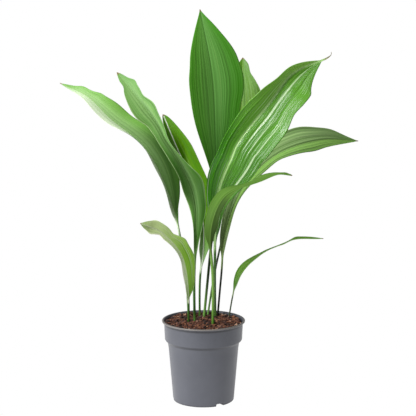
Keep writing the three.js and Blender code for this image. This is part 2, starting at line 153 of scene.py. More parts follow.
# Each leaf's midrib passes through the given points, from the foot of the stalk to the tip.
# stalk is the length of the stalk, half the widths left and right of the midrib, and widest
# where along the blade they are reached, with how sharply the blade narrows to its base and
# to its tip. tail is the share of the blade that is a thin dry tail past its tip. roll turns
# the blade about its midrib and fold lifts both halves, in degrees at even steps along the
# blade. ruffle gives the height of the waves in the margin, how many there are, and where
# they start on the left and on the right. pleat is the height of the lengthwise pleats. Each
# swell widens or narrows one half: its side, where it is along the blade, by how much, and
# its length.
LEAVES = {
    "leaf_tall": dict(
        stalk=200, stalk_radius=1.9, half=(41, 45), widest=0.62, narrow=(1.6, 1.1), tail=0,
        midrib=[(-2, 28, 88), (8, 37, 190), (17, 41, 292), (17, 42, 385), (12, 40, 473), (-5, 36, 562)],
        roll=(-15, -23, -20, -5), fold=(5, 7, 14, 17), ruffle=(0, 3, 0, 0), pleat=0.2,
        swells=[
            (-1, 0.42, 0.9, 0.12), (-1, 0.72, -1.2, 0.05), (1, 0.49, -2, 0.05), (1, 0.7, -1, 0.04),
            (1, 0.92, 0.9, 0.05),
        ],
    ),
    "leaf_behind": dict(
        stalk=177, stalk_radius=1.5, half=(32, 36), widest=0.53, narrow=(1.2, 0.75), tail=0,
        midrib=[(2, 38, 88), (17, 52, 180), (36, 75, 261), (52, 102, 337), (57, 127, 411), (59, 150, 487)],
        roll=(9, 8, 9, 14), fold=(10, 10, 10, 10), ruffle=(3.5, 3, 0.55, 0.7), pleat=0.25,
        swells=[(1, 0.8, 1.4, 0.04), (1, 0.9, -1.8, 0.025), (1, 0.96, 1.2, 0.02)],
    ),
    "leaf_broad": dict(
        stalk=130, stalk_radius=2, half=(31, 51.5), widest=0.68, narrow=(0.9, 0.85), tail=0.065,
        midrib=[
            (17.5, 30, 88), (16.5, 27, 186), (19.5, 16, 292), (39.5, 6, 353), (53, 9, 380.5),
            (91, 16, 428), (127.5, 26, 472), (178, 40, 494), (183, 46, 501),
        ],
        roll=(-6, 0, -6, -11), fold=(23, 17, 39, 35), ruffle=(2.4, 3, 0.05, 0.55), pleat=0.6,
        swells=[
            (-1, 0.42, -3, 0.07), (-1, 0.58, 2, 0.05), (-1, 0.75, -6.5, 0.05), (-1, 0.84, -2, 0.04),
            (-1, 0.9, -2, 0.04), (1, 0.17, -10.7, 0.1), (1, 0.53, -1.3, 0.05), (1, 0.67, -5.4, 0.04),
            (1, 0.8, 6.4, 0.06), (1, 0.95, 2.3, 0.03),
        ],
    ),
    "leaf_right": dict(
        stalk=98, stalk_radius=1.5, half=(26, 23), widest=0.65, narrow=(1.2, 1), tail=0,
        midrib=[
            (18.5, 38, 88), (25.5, 43, 169), (33, 51, 240), (59, 63, 303), (108, 78, 349), (172, 96, 368),
            (231, 112, 365),
        ],
        roll=(25, 45, 42, 29), fold=(15, 31, 22, 14), ruffle=(2, 3, 0.88, 0.44), pleat=0.35,
        swells=[(-1, 0.73, 1, 0.05), (-1, 0.87, 1.5, 0.04), (1, 0.57, -2.3, 0.04), (1, 0.76, 1.8, 0.04)],
    ),
    "leaf_far_left": dict(
        stalk=155, stalk_radius=1.6, half=(31, 31), widest=0.35, narrow=(1.8, 1), tail=0,
        midrib=[
            (-20.5, 21, 88), (-26.5, 22, 187), (-45, 23, 283), (-81, 23, 361), (-132, 26, 406),
            (-167, 38, 438), (-207, 52, 456),
        ],
        roll=(-20, -47, -45, -24), fold=(30, 47, 37, 16), ruffle=(4.4, 3, 0.66, 0.93), pleat=0.28,
        swells=[(-1, 0.77, 1.5, 0.05), (1, 0.12, -3, 0.05), (1, 0.8, 1.5, 0.02), (1, 0.885, 2.8, 0.03)],
    ),
    "leaf_left": dict(
        stalk=115, stalk_radius=1.9, half=(20, 26.5), widest=0.65, narrow=(1, 0.7), tail=0,
        midrib=[
            (-12.3, 6, 88), (-13.4, 2, 176), (-11, -8, 285), (-30.5, -14, 344), (-53, -12, 381),
            (-67.7, -6, 406.5), (-121.6, 2, 475),
        ],
        roll=(-17, -5, 15, 7), fold=(0, 44, 60, -2), ruffle=(7, 2.5, 0.06, 0.03), pleat=0.22,
        swells=[
            (-1, 0.45, -4.9, 0.06), (-1, 0.72, -3.4, 0.035), (-1, 0.93, -2.6, 0.02), (1, 0.1, -2.2, 0.05),
            (1, 0.25, 3, 0.06), (1, 0.43, 6.4, 0.06), (1, 0.6, -3.5, 0.06), (1, 0.7, 3.5, 0.04),
            (1, 0.77, 5.8, 0.035), (1, 0.84, -5.4, 0.03), (1, 0.92, 4, 0.02),
        ],
    ),
    "leaf_inner": dict(
        stalk=95, stalk_radius=1.6, half=(14, 22.5), widest=0.66, narrow=(0.8, 0.6), tail=0,
        midrib=[
            (-5.4, 36, 88), (-5.4, 34, 166), (0, 32, 231), (-6, 34, 295), (-35, 42, 356), (-59, 52, 411),
        ],
        roll=(-20, -20, -15, -10), fold=(27, 42, 40, 31), ruffle=(0, 3, 0, 0), pleat=0.25,
        swells=[(-1, 0.15, 4.5, 0.06), (1, 0.1, -1.8, 0.05), (1, 0.76, 2.6, 0.1)],
    ),
    "leaf_front": dict(
        stalk=140, stalk_radius=2, half=(19, 12), widest=0.38, narrow=(1.1, 0.6), tail=0,
        midrib=[
            (13.6, -13, 88), (13.4, -28, 184), (10, -46, 257), (28, -66, 308), (67, -86, 331),
            (98, -104, 345), (119, -120, 346),
        ],
        roll=(-5, 52, 85, 79), fold=(-12, -10, 0, 9), ruffle=(2, 3, 0, 0.4), pleat=0.2,
        swells=[
            (-1, 0.28, 1.8, 0.05), (-1, 0.88, -1.2, 0.03), (-1, 0.925, 1.3, 0.02), (1, 0.07, 1.6, 0.04),
            (1, 0.44, -1.5, 0.04),
        ],
    ),
    "leaf_low_left": dict(
        stalk=62, stalk_radius=1.7, half=(17, 18), widest=0.35, narrow=(0.8, 0.7), tail=0,
        midrib=[
            (-22, 10, 88), (-22, -14, 161), (-30, -35, 217), (-56, -52, 254), (-76, -67, 267),
            (-86, -86, 275),
        ],
        roll=(-47, -59, -53, -27), fold=(16, 22, 22, 11), ruffle=(2, 2, 0.11, 0.35), pleat=0.2,
        swells=[
            (-1, 0.2, -1.5, 0.1), (-1, 0.75, -3.2, 0.03), (-1, 0.85, 2.6, 0.03), (1, 0.15, 1.5, 0.06),
            (1, 0.53, 3.2, 0.04), (1, 0.63, -2.2, 0.03), (1, 0.8, 1.4, 0.04),
        ],
    ),
    "leaf_thin": dict(
        stalk=60, stalk_radius=1.1, half=(18, 19), widest=0.4, narrow=(1.2, 0.9), tail=0,
        midrib=[
            (33.5, 34, 88), (43, 29, 149), (53, 20, 188), (83, 7, 215), (114, -8, 232), (134, -26, 243),
            (168, -44, 246),
        ],
        roll=(50, 89, 100, 79), fold=(0, -4, 1, 5), ruffle=(0, 3, 0, 0), pleat=0.18,
        swells=[(-1, 0.2, -1.2, 0.08), (1, 0.28, 3, 0.08)],
    ),
}


# Small helpers

def colour(code):
    """A colour for a shader from its six hexadecimal digits."""
    def linear(byte):
        level = byte / 255
        return level / 12.92 if level <= 0.04045 else ((level + 0.055) / 1.055) ** 2.4
    return (*(linear(int(code[i:i + 2], 16)) for i in (0, 2, 4)), 1)


def make_object(name, points, faces, smooth=True):
    """A mesh object in the scene, from points in millimetres."""
    mesh = bpy.data.meshes.new(name)
    mesh.from_pydata((np.asarray(points, float) * MM).tolist(), [], faces)
    mesh.polygons.foreach_set("use_smooth", [smooth] * len(mesh.polygons))
    mesh.update()
    made = bpy.data.objects.new(name, mesh)
    bpy.context.scene.collection.objects.link(made)
    return made


def circle(radius, height, sides):
    """Points of a level circle round the Z axis."""
    angles = [2 * math.pi * k / sides for k in range(sides)]
    return [(radius * math.cos(angle), radius * math.sin(angle), height) for angle in angles]


def band(first, second, sides):
    """Faces between two rings of points, from the number of the first point in each."""
    steps = [(k, (k + 1) % sides) for k in range(sides)]
    return [(first + k, first + beside, second + beside, second + k) for k, beside in steps]


def add_point_values(mesh, name, values):
    """One number for each point of a mesh, for its material to read."""
    layer = mesh.attributes.new(name, "FLOAT", "POINT")
    layer.data.foreach_set("value", np.asarray(values, np.float32).ravel())


def smoothstep(x, low, high):
    share = np.clip((x - low) / (high - low), 0, 1)
    return share * share * (3 - 2 * share)


def smooth_through(values, place):
    """Where a smooth curve is at places from 0 to 1, through values that stand at even steps."""
    knots = np.asarray(values, float)
    knots = np.concatenate([[2 * knots[0] - knots[1]], knots, [2 * knots[-1] - knots[-2]]])
    spans = len(knots) - 3
    along = np.clip(place, 0, 1) * spans
    span = np.minimum(along.astype(int), spans - 1)
    w = along - span
    if knots.ndim == 2:
        w = w[:, None]
    before, start, end, after = (knots[span + i] for i in range(4))
    slope_start = (end - before) / 2
    slope_end = (after - start) / 2
    cubic = 2 * start - 2 * end + slope_start + slope_end
    square = -3 * start + 3 * end - 2 * slope_start - slope_end
    return cubic * w ** 3 + square * w ** 2 + slope_start * w + start


def unit(vectors):
    return vectors / np.linalg.norm(vectors, axis=-1, keepdims=True)


class Shade:
    """A new material, with short calls that add the nodes of its colour, gloss and bump."""

    def __init__(self, name):
        self.material = bpy.data.materials.new(name)
        self.material.use_nodes = True
        self.tree = self.material.node_tree
        self.shader = self.tree.nodes["Principled BSDF"]

    def even(self, socket, value):
        """A number or colour that is the same all over the surface."""
        self.shader.inputs[socket].default_value = value

    def join(self, source, node, socket):
        """Feeds a socket from another node, or with a plain value."""
        if isinstance(source, bpy.types.NodeSocket):
            self.tree.links.new(source, node.inputs[socket])
        else:
            node.inputs[socket].default_value = source

    def value(self, name, output="Fac"):
        node = self.tree.nodes.new("ShaderNodeAttribute")
        node.attribute_name = name
        return node.outputs[output]

    def place(self):
        return self.tree.nodes.new("ShaderNodeTexCoord").outputs["Object"]

    def maths(self, kind, a, b=0.0, clamp=False):
        node = self.tree.nodes.new("ShaderNodeMath")
        node.operation = kind
        node.use_clamp = clamp
        self.join(a, node, 0)
        self.join(b, node, 1)
        return node.outputs[0]

    def times(self, a, b):
        return self.maths("MULTIPLY", a, b)

    def vector(self, x, y, z):
        node = self.tree.nodes.new("ShaderNodeCombineXYZ")
        for socket, source in enumerate((x, y, z)):
            self.join(source, node, socket)
        return node.outputs[0]

    def noise(self, vector, scale, detail=2.0, rough=0.5):
        node = self.tree.nodes.new("ShaderNodeTexNoise")
        self.join(vector, node, "Vector")
        node.inputs["Scale"].default_value = scale
        node.inputs["Detail"].default_value = detail
        node.inputs["Roughness"].default_value = rough
        return node.outputs["Fac"]

    def spread(self, value, low, high, to_low=0.0, to_high=1.0):
        """Stretches low..high to to_low..to_high, and holds it there."""
        node = self.tree.nodes.new("ShaderNodeMapRange")
        node.interpolation_type = "SMOOTHSTEP"
        self.join(value, node, "Value")
        node.inputs["From Min"].default_value = low
        node.inputs["From Max"].default_value = high
        node.inputs["To Min"].default_value = to_low
        node.inputs["To Max"].default_value = to_high
        return node.outputs["Result"]

    def mix(self, share, first, second, kind="MIX"):
        node = self.tree.nodes.new("ShaderNodeMix")
        node.data_type = "RGBA"
        node.blend_type = kind
        self.join(share, node, 0)
        self.join(first, node, 6)
        self.join(second, node, 7)
        return node.outputs[2]

    def axis(self, vector, name):
        node = self.tree.nodes.new("ShaderNodeSeparateXYZ")
        self.join(vector, node, "Vector")
        return node.outputs[name]

    def stripes(self, cells_across, cells_along, offset, fade, detail=2.0):
        """Uneven lengthwise stripes, which fade in from 0 to 1 between two levels of a noise."""
        place = self.vector(
            self.times(self.value("across"), cells_across),
            self.times(self.value("along"), cells_along),
            offset,
        )
        return self.spread(self.noise(place, 1, detail), *fade)

    def by_half(self, left, right):
        """One number on the left half of a leaf and another on the right."""
        return self.spread(self.value("across"), -RIB_BLEND, RIB_BLEND, left, right)

    def breadth(self, half_width):
        """How broad a leaf is here, from 0 at a narrow tip or base to 1."""
        here = self.maths("ADD", self.value("from_rib"), self.value("from_margin"))
        return self.spread(here, NARROW * half_width, BROAD * half_width)

    def total(self, *parts):
        """The sum of (share, value) parts, held between 0 and 1."""
        result = 0.0
        for share, value in parts:
            result = self.maths("ADD", result, self.times(value, share), clamp=True)
        return result

    def bump(self, height, distance, strength=1.0):
        node = self.tree.nodes.new("ShaderNodeBump")
        node.inputs["Strength"].default_value = strength
        node.inputs["Distance"].default_value = distance
        self.join(height, node, "Height")
        self.tree.links.new(node.outputs["Normal"], self.shader.inputs["Normal"])

    def colour(self, source):
        self.join(source, self.shader, "Base Color")

    def roughness(self, source):
        self.join(source, self.shader, "Roughness")


# Camera

camera_data = bpy.data.cameras.new("camera")
camera_data.sensor_width = SENSOR_WIDTH
camera_data.lens = LENS
camera_data.clip_start = 0.05
camera_data.clip_end = 200
camera = bpy.data.objects.new("camera", camera_data)
camera.location = CAMERA_PLACE
camera.rotation_euler = (math.radians(90 - CAMERA_DOWN_DEGREES), 0, 0)
bpy.context.scene.collection.objects.link(camera)
bpy.context.scene.camera = camera


# Materials

# Where along a blade its tones change, from 0 at its base to 1 at its tip. A stalk runs from
# -1 at its foot to 0.
STALK_FOOT = (-0.95, -0.55)
STALK_TO_BLADE = (-0.06, 0.05)
RIB_SHEEN_RISE = (0.05, 0.55)
RIGHT_SHADE_FALL = (0.38, 0.6)
PAINTED_SHEEN_RISE = (0.4, 0.85)
CALM_FALL = (0.72, 0.97)
TIP_RISE = (0.84, 1.0)
UNDER_SHADE_FALL = (0.25, 0.55)
UNDER_DRY_RISE = (0.975, 1.0)

DRY_TIP = "7c6142"
UNDER_DARK = "3c6a26"
UNDER_LIGHT = "66904d"
UNDER_RIB = "8fae6e"
UNDER_STALK = "2c5218"
UNDER_FOOT = "3f3a20"


def leaf_material(name, half_width, seed, look):
    """The upper face of a leaf: lengthwise bands and veins in two greens with painted sheen and shade, on
    a waxy skin.
    """
    shade = Shade(name)
    across = shade.value("across")
    along = shade.value("along")
    from_rib = shade.value("from_rib")
    from_margin = shade.value("from_margin")

    def layer(width, breaks, offset, fade, detail=2.0):
        return shade.stripes(half_width / width, breaks, seed + offset, fade, detail)

    def tone_over(green, share, key):
        return shade.mix(share, green, colour(look[key]))

    # Light and dark green in fine lines, veins, bands and patches, calmer towards the tip
    fine = layer(width=0.7, breaks=2.4, offset=0, fade=(0.3, 0.7), detail=3)
    veins = layer(width=2.2, breaks=1.0, offset=3.3, fade=(0.38, 0.62))
    bands = layer(width=5.5, breaks=1.0, offset=5.5, fade=(0.36, 0.64))
    patches = shade.stripes(
        cells_across=1.6, cells_along=3.4, offset=seed + 9.1, fade=(0.3, 0.7), detail=1,
    )
    share = shade.total((0.15, fine), (0.45, veins), (0.25, bands), (0.15, patches))
    calm = shade.spread(along, *CALM_FALL, 1.0, 0.1)
    share = shade.maths("ADD", shade.times(shade.maths("SUBTRACT", share, 0.5), calm), 0.5)
    green = shade.mix(share, colour(look["dark"]), colour(look["light"]))
    # The left half's own greens: painted shade on leaf_inner, painted sheen on leaf_far_left and
    # leaf_right
    if "left_dark" in look:
        left = shade.mix(share, colour(look["left_dark"]), colour(look["left_light"]))
        green = shade.mix(shade.by_half(0.0, 1.0), left, green)

    # The tone near the base, a painted shade on most leaves, then a painted sheen towards the tip and
    # round the midrib
    green = tone_over(green, shade.spread(along, 0.0, look["low_reach"], 0.9, 0.0), "low")
    more_on_left = shade.by_half(look["painted_sheen_on_left"], 1.0)
    painted_tip_sheen = shade.times(shade.spread(along, *PAINTED_SHEEN_RISE, 0.0, look["painted_tip_sheen"]), more_on_left)
    green = tone_over(green, painted_tip_sheen, "painted_sheen_tone")
    painted_rib_sheen = shade.spread(shade.maths("ABSOLUTE", across), 0.1, 0.9, look["painted_rib_sheen"], 0.0)
    painted_rib_sheen = shade.times(painted_rib_sheen, shade.spread(along, *RIB_SHEEN_RISE, 0.3, 1.0))
    painted_rib_sheen = shade.times(painted_rib_sheen, more_on_left)
    green = tone_over(green, painted_rib_sheen, "painted_sheen_tone")

    # Painted shade on the right half near the base, and a darker tip
    shade_from = look["shade_from"]
    right_shade = shade.times(
        shade.spread(across, shade_from, shade_from + 0.5, 0.0, look["right_shade"]),
        shade.spread(along, *RIGHT_SHADE_FALL, 1.0, 0.0),
    )
    green = tone_over(green, right_shade, "vein_tone")
    green = tone_over(green, shade.spread(along, *TIP_RISE, 0.0, look["tip"]), "dark")

    # Thin dark veins and pale streaks, which on leaf_broad paint the glints of its glossy pleats
    dark_veins = layer(width=1.8, breaks=0.6, offset=7.7, fade=(0.56, 0.66), detail=1)
    vein_share = shade.times(dark_veins, shade.times(calm, look["veins"]))
    green = tone_over(green, vein_share, "vein_tone")
    streaks = layer(
        look["streak_cell"], look["streak_breaks"], offset=2.2,
        fade=(0.58, 0.58 + look["streak_edge"]), detail=1,
    )
    green = tone_over(green, shade.times(streaks, shade.times(calm, look["streaks"])), "pale")

    # The midrib and the thin hard margin; the white midribs of leaf_broad and leaf_inner are painted
    # highlights, and the broad pale rim of leaf_far_left is a painted sheen
    rib_reach = shade.spread(from_rib, 0.3, look["rib_width"], look["rib"], 0.0)
    green = tone_over(green, rib_reach, "rib_tone")
    rim_reach = shade.spread(from_margin, 0.1, look["rim_width"], look["rim"], 0.0)
    rim_reach = shade.times(rim_reach, shade.by_half(1.0, look["right_rim"]))
    green = tone_over(green, shade.times(rim_reach, calm), "rim_tone")

    # The stalk, with a tone of its own at its foot, and the dry tip
    stalk = shade.mix(shade.spread(along, *STALK_FOOT), colour(look["foot"]), colour(look["stalk"]))
    green = shade.mix(shade.spread(along, *STALK_TO_BLADE), stalk, green)
    dry_half_way = (1 + look["dry"]) / 2
    dry_share = shade.spread(along, look["dry"], dry_half_way, 0.0, 0.85)
    green = shade.mix(dry_share, green, colour(DRY_TIP))

    shade.colour(green)
    rough = look["rough"]
    shade.roughness(shade.spread(fine, 0.0, 1.0, rough - 0.04, rough + 0.05))
    shade.even("Specular IOR Level", look["shine"])
    relief = shade.total((0.7, bands), (0.3, veins))
    shade.bump(shade.times(relief, shade.breadth(half_width)), look["relief"] * MM)
    return shade.material


def underside_material(name, low):
    """The underside of a leaf: greyer and duller, with painted shade low on the blade."""
    shade = Shade(name)
    along = shade.value("along")
    fine = shade.stripes(cells_across=70, cells_along=2.2, offset=3, fade=(0.3, 0.7), detail=3)
    bands = shade.stripes(cells_across=9, cells_along=1.0, offset=8, fade=(0.35, 0.65))
    green = shade.mix(
        shade.total((0.5, fine), (0.5, bands)), colour(UNDER_DARK), colour(UNDER_LIGHT),
    )
    rib_reach = shade.spread(shade.value("from_rib"), 0.6, 1.9, 0.4, 0.0)
    green = shade.mix(rib_reach, green, colour(UNDER_RIB))
    # Painted shade low on the underside
    green = shade.mix(shade.spread(along, *UNDER_SHADE_FALL, 0.9, 0.0), green, colour(low))
    stalk = shade.mix(shade.spread(along, *STALK_FOOT), colour(UNDER_FOOT), colour(UNDER_STALK))
    green = shade.mix(shade.spread(along, *STALK_TO_BLADE), stalk, green)
    green = shade.mix(shade.spread(along, *UNDER_DRY_RISE, 0.0, 0.9), green, colour(DRY_TIP))
    shade.colour(green)
    shade.roughness(shade.spread(fine, 0.0, 1.0, 0.45, 0.58))
    shade.even("Specular IOR Level", 0.1)
    shade.bump(shade.times(fine, shade.breadth(half_width=25)), 0.3 * MM)
    return shade.material


def pot_material():
    """Satin slate plastic with a fine moulded grain, faint cloudy wear and painted shade and highlight."""
    shade = Shade("pot_plastic")
    place = shade.place()
    grain = shade.noise(place, scale=1400)
    cloud = shade.noise(place, scale=22, detail=3, rough=0.6)
    slate = shade.mix(shade.spread(cloud, 0.3, 0.7), colour("484a52"), colour("4e5058"))

    # Painted shade in the crease under the lip and in the step, and darker round the foot
    height = shade.axis(place, "Z")
    painted_shade = 0.0
    for low, high, depth in POT_SHADE_BANDS:
        lower_fade = ((low - CREASE_LOWER_FADE) * MM, (low + CREASE_LOWER_FADE) * MM)
        upper_fade = ((high - CREASE_UPPER_FADE) * MM, (high + CREASE_UPPER_FADE) * MM)
        crease = shade.times(
            shade.spread(height, *lower_fade, 0.0, depth),
            shade.spread(height, *upper_fade, 1.0, 0.0),
        )
        painted_shade = shade.maths("MAXIMUM", painted_shade, crease)
    slate = shade.mix(painted_shade, slate, colour("1c1c20"))

    # The painted highlight on the top of the lip
    outwards = shade.tree.nodes.new("ShaderNodeVectorMath")
    outwards.operation = "LENGTH"
    shade.join(shade.vector(shade.axis(place, "X"), shade.axis(place, "Y"), 0.0), outwards, 0)
    highlight_heights = [level * MM for level in LIP_HIGHLIGHT_HEIGHTS]
    highlight_radii = [(RIM_RADIUS - inset) * MM for inset in LIP_HIGHLIGHT_INSETS]
    lip_highlight = shade.times(
        shade.spread(height, *highlight_heights), shade.spread(outwards.outputs["Value"], *highlight_radii),
    )
    shade.colour(shade.mix(lip_highlight, slate, colour("706b68")))
    shade.roughness(shade.spread(cloud, 0.25, 0.75, 0.4, 0.5))
    shade.even("IOR", 1.5)
    shade.bump(grain, distance=0.06 * MM, strength=0.5)
    return shade.material


def soil_material():
    """Dark moist bark crumbs between the chips."""
    shade = Shade("soil_crumbs")
    place = shade.place()
    crumbs = shade.noise(place, scale=420, detail=4, rough=0.7)
    shade.colour(shade.mix(shade.spread(crumbs, 0.35, 0.65), colour("1d110c"), colour("4d2c20")))
    shade.roughness(0.92)
    shade.bump(crumbs, distance=2 * MM)
    return shade.material


def chip_material():
    """Bark, each chip in its own brown, darker in the hollows of its grain."""
    shade = Shade("bark_chips")
    place = shade.place()
    grain = shade.noise(place, scale=900, detail=4, rough=0.65)
    fibre = shade.noise(place, scale=260)
    own = shade.value("chip_colour", "Color")
    dark = shade.mix(1.0, own, colour("8a7468"), "MULTIPLY")
    shade.colour(shade.mix(shade.spread(grain, 0.35, 0.62), dark, own))
    shade.roughness(shade.spread(fibre, 0.3, 0.7, 0.72, 0.95))
    shade.bump(grain, distance=0.6 * MM, strength=0.8)
    return shade.material


# Leaves

def blade_width(leaf, side, t):
    """Half width of a blade, at t from its base to its tip, on the left or right (-1 or 1)."""
    to_base, to_tip = leaf["narrow"]
    widest = leaf["widest"]
    place = np.minimum(t / (1 - leaf["tail"]), 1)
    rising = np.sin(math.pi / 2 * np.clip(place / widest, 0, 1)) ** to_base
    falling = np.cos(math.pi / 2 * np.clip((place - widest) / (1 - widest), 0, 1)).clip(0) ** to_tip
    width = np.where(side < 0, *leaf["half"]) * np.where(place < widest, rising, falling)
    for swell_side, where, amount, length in leaf["swells"]:
        width = width + np.where(side == swell_side, amount, 0) * np.exp(-((t - where) / length) ** 2)
    return np.maximum(width, np.where(t <= 0.5, leaf["stalk_radius"], TIP_HALF_WIDTH))


def course_of(leaf):
    """Stations along a leaf, with the midrib and the directions across and out of the blade.

    t runs along the blade from 0 to 1 and is 0 on the stalk, where along runs from -1 to 0.
    """
    places = np.linspace(0, 1, MIDRIB_SAMPLES)
    points = smooth_through(leaf["midrib"], places)
    lengths = np.concatenate([[0], np.cumsum(np.linalg.norm(np.diff(points, axis=0), axis=1))])
    total = lengths[-1]
    stalk_stations = np.linspace(0, leaf["stalk"], round(leaf["stalk"] / STALK_STEP), endpoint=False)
    blade_stations = np.linspace(leaf["stalk"], total, round((total - leaf["stalk"]) / BLADE_STEP))
    stations = np.concatenate([stalk_stations, blade_stations])
    place = np.interp(stations, lengths, places)
    centre = smooth_through(leaf["midrib"], place)
    nudge = 1e-4
    tangent = unit(
        smooth_through(leaf["midrib"], np.minimum(place + nudge, 1))
        - smooth_through(leaf["midrib"], np.maximum(place - nudge, 0))
    )
    t = np.clip((stations - leaf["stalk"]) / (total - leaf["stalk"]), 0, 1)
    along = np.where(stations < leaf["stalk"], stations / leaf["stalk"] - 1, t)
    flat_across = unit(np.cross((0, 1, 0), tangent))
    flat_out = np.cross(flat_across, tangent)
    roll = np.radians(smooth_through(leaf["roll"], t))[:, None]
    across = flat_across * np.cos(roll) + flat_out * np.sin(roll)
    out = np.cross(across, tangent)
    return t, along, centre, across, out


def pleats(leaf, share, t, seed):
    """Height of the uneven lengthwise pleats at each station and column.

    They die out at both ends of the blade and at the midrib, and weaken at the margin. The wave
    of pace 1 is lowest at the midrib, and the others start anywhere.
    """
    draw = random.Random(seed)
    height = np.zeros(np.broadcast(share, t).shape)
    for side in (-1, 1):
        count = max(leaf["half"][0 if side < 0 else 1] / PLEAT_SPACING, 2)
        for weight, pace in PLEAT_WAVES:
            drift = draw.uniform(-0.5, 0.5)
            start = draw.uniform(0, 2 * math.pi) if pace != 1.0 else math.pi
            wave = np.cos(2 * math.pi * pace * count * np.abs(share) + drift * 2 * t + start)
            height += np.where(np.sign(share) == side, weight * wave, 0)
    ends = smoothstep(t, 0.04, 0.3) * (1 - smoothstep(t, 0.8, 0.99))
    edges = smoothstep(np.abs(share), 0, 0.06) * (1 - 0.6 * smoothstep(np.abs(share), 0.85, 1))
    return leaf["pleat"] * height * ends * edges


def make_leaf(name, leaf, seed):
    """A leaf: a round stalk that widens into a thin, pleated, folded and ruffled blade."""
    t, along, centre, across, out = course_of(leaf)
    half_columns = [
        max(round(half / PLEAT_SPACING * COLUMNS_PER_PLEAT), FEWEST_COLUMNS) for half in leaf["half"]
    ]
    left = -np.linspace(1, 0, half_columns[0] + 1)[:-1] ** COLUMN_CROWDING
    right = np.linspace(0, 1, half_columns[1] + 1) ** COLUMN_CROWDING
    share = np.concatenate([left, right])[None, :]
    t = t[:, None]
    side = np.where(share < 0, -1, 1)
    width = blade_width(leaf, side, t)
    stalk_radius = leaf["stalk_radius"]
    size = np.abs(share)

    # Waves of the margin, which die out at both ends, then the pleats and the fold
    wave_height, wave_count, start_left, start_right = leaf["ruffle"]
    steady = np.sin(math.pi * t).clip(0) ** 0.7
    wave = 2 * math.pi * (wave_count * t + np.where(share < 0, start_left, start_right))
    reach = size * width + WAVE_SIDEWAYS * wave_height * np.cos(wave) * size ** 2 * steady
    lift = wave_height * np.sin(wave) * size ** 2 * steady + pleats(leaf, share, t, seed)
    fold = np.radians(smooth_through(leaf["fold"], t[:, 0]))[:, None] * np.ones_like(share)

    # Thickness, and the midrib's ridge below and groove above
    from_rib = size * width
    tilt = fold * smoothstep(from_rib, 0, MIDRIB_HALF_WIDTH)
    bladeness = smoothstep(t, 0, BLADE_START)[..., None]
    thickness = BLADE_THICKNESS * np.sqrt(1 - size ** EDGE_SQUARENESS) * np.ones_like(t)
    rib_half_width = np.minimum(MIDRIB_HALF_WIDTH, 0.3 * width)
    rib = np.cos(math.pi / 2 * np.clip(from_rib / rib_half_width, 0, 1)) ** 2
    ridge = MIDRIB_RIDGE * (1 - RIDGE_FADE * t) * rib
    groove = MIDRIB_GROOVE * rib

    def spot(sideways, outwards):
        return centre[:, None] + across[:, None] * sideways[..., None] + out[:, None] * outwards[..., None]

    # The round stalk turns into the blade
    middle = spot(side * reach * np.cos(fold), reach * np.sin(fold) + lift)
    normal = out[:, None] * np.cos(tilt)[..., None] - across[:, None] * (side * np.sin(tilt))[..., None]
    blade_top = middle + normal * (thickness / 2 - groove)[..., None]
    blade_bottom = middle - normal * (thickness / 2 + ridge)[..., None]
    angle = math.pi * (1 - (share + 1) / 2) * np.ones_like(t)
    stalk_top = spot(stalk_radius * np.cos(angle), stalk_radius * np.sin(angle))
    stalk_bottom = spot(stalk_radius * np.cos(angle), -stalk_radius * np.sin(angle))
    top = stalk_top * (1 - bladeness) + blade_top * bladeness
    bottom = stalk_bottom * (1 - bladeness) + blade_bottom * bladeness

    # Rings round the leaf: the top from left to right, then the bottom back
    def ringed(upper, lower):
        return np.concatenate([upper, lower[:, -2:0:-1]], axis=1)

    rings = ringed(top, bottom)
    stations, ring = rings.shape[:2]
    points = rings.reshape(-1, 3)
    tip = rings[-1].mean(axis=0)
    last = (stations - 1) * ring
    faces = []
    for first in range(0, last, ring):
        faces += band(first, first + ring, ring)
    faces += [(last + k, last + (k + 1) % ring, len(points)) for k in range(ring)]
    faces.append(tuple(reversed(range(ring))))
    made = make_object(name + "_fine", np.vstack([points, tip]), faces)

    # The faces of the underside take the second material
    upper_faces = share.shape[1] - 1
    is_under = [k >= upper_faces for _ in range(stations) for k in range(ring)] + [False]
    made.data.polygons.foreach_set("material_index", np.array(is_under, np.int32))

    # Where each point lies on the leaf, for the materials
    flat = np.ones((stations, share.shape[1]))
    for label, values, at_tip in (
        ("across", share * flat, 0),
        ("along", along[:, None] * flat, 1),
        ("from_rib", from_rib * flat, 0),
        ("from_margin", (1 - size) * width * flat, 0),
    ):
        add_point_values(made.data, label, np.append(ringed(values, values).ravel(), at_tip))
    return made


